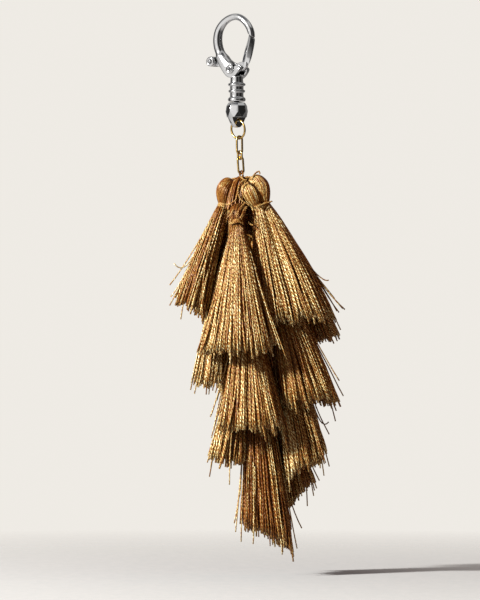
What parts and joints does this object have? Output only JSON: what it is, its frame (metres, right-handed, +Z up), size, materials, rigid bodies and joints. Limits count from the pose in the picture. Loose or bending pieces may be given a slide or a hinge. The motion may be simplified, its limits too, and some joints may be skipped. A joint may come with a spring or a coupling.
{
  "type": "silk tassel with swivel snap hook",
  "caption": "Tiered silk tassel on a cord and a short chain, hung from a swivel snap hook with a thumb gate.",
  "frame": {"origin": "inner top of the snap hook's bow, where it bears on the ring, strap or cord that it is clipped to", "axes": "+Z up, against the hang of the tassel; -Y is the front, and +X is to the right as seen from the front"},
  "size_m": [0.0684, 0.0507, 0.2133],
  "materials": {
    "hook_chrome": "polished chrome plate over a zinc casting, darkened in the corners",
    "chain_brass": "bright drawn brass wire",
    "tassel_silk": "old-gold twisted silk strands with a soft lustre",
    "silk_thread": "fine silk thread wound tight"
  },
  "bodies": {
    "hook": {"hook_body": "hook_chrome", "gate_rivet": "hook_chrome"},
    "gate": {"gate_lever": "hook_chrome"},
    "swivel": {"binding_back_left": "silk_thread", "binding_back_right": "silk_thread", "binding_fifth_back": "silk_thread", "binding_fifth_front": "silk_thread", "binding_fifth_right": "silk_thread", "binding_fourth_left": "silk_thread", "binding_fourth_right": "silk_thread", "binding_front_middle": "silk_thread", "binding_second_back": "silk_thread", "binding_second_left": "silk_thread", "binding_second_right": "silk_thread", "binding_third_back": "silk_thread", "binding_third_front": "silk_thread", "binding_upper_back": "silk_thread", "binding_upper_centre": "silk_thread", "binding_upper_left": "silk_thread", "binding_upper_right": "silk_thread", "chain_link_lower": "chain_brass", "chain_link_middle": "chain_brass", "chain_link_upper": "chain_brass", "hanging_cord": "tassel_silk", "jump_ring": "chain_brass", "swivel_barrel": "hook_chrome", "tassel_back_left": "tassel_silk", "tassel_back_right": "tassel_silk", "tassel_fifth_back": "tassel_silk", "tassel_fifth_front": "tassel_silk", "tassel_fifth_right": "tassel_silk", "tassel_fourth_left": "tassel_silk", "tassel_fourth_right": "tassel_silk", "tassel_front_middle": "tassel_silk", "tassel_second_back": "tassel_silk", "tassel_second_left": "tassel_silk", "tassel_second_right": "tassel_silk", "tassel_third_back": "tassel_silk", "tassel_third_front": "tassel_silk", "tassel_upper_back": "tassel_silk", "tassel_upper_centre": "tassel_silk", "tassel_upper_left": "tassel_silk", "tassel_upper_right": "tassel_silk"}
  },
  "joints": [
    {"name": "gate_pivot", "type": "hinge", "parent": "hook", "child": "gate", "pos_m": [-0.00042, 0.0003, -0.0197], "axis": [-0.5736, -0.8192, 0], "range_deg": [0, 28], "stiffness_Nm_per_rad": 0.06, "springref_deg": -18.91},
    {"name": "barrel_swivel", "type": "hinge", "parent": "hook", "child": "swivel", "pos_m": [0.0007, -0.00049, -0.0345], "axis": [0, 0, 1], "continuous": true}
  ]
}
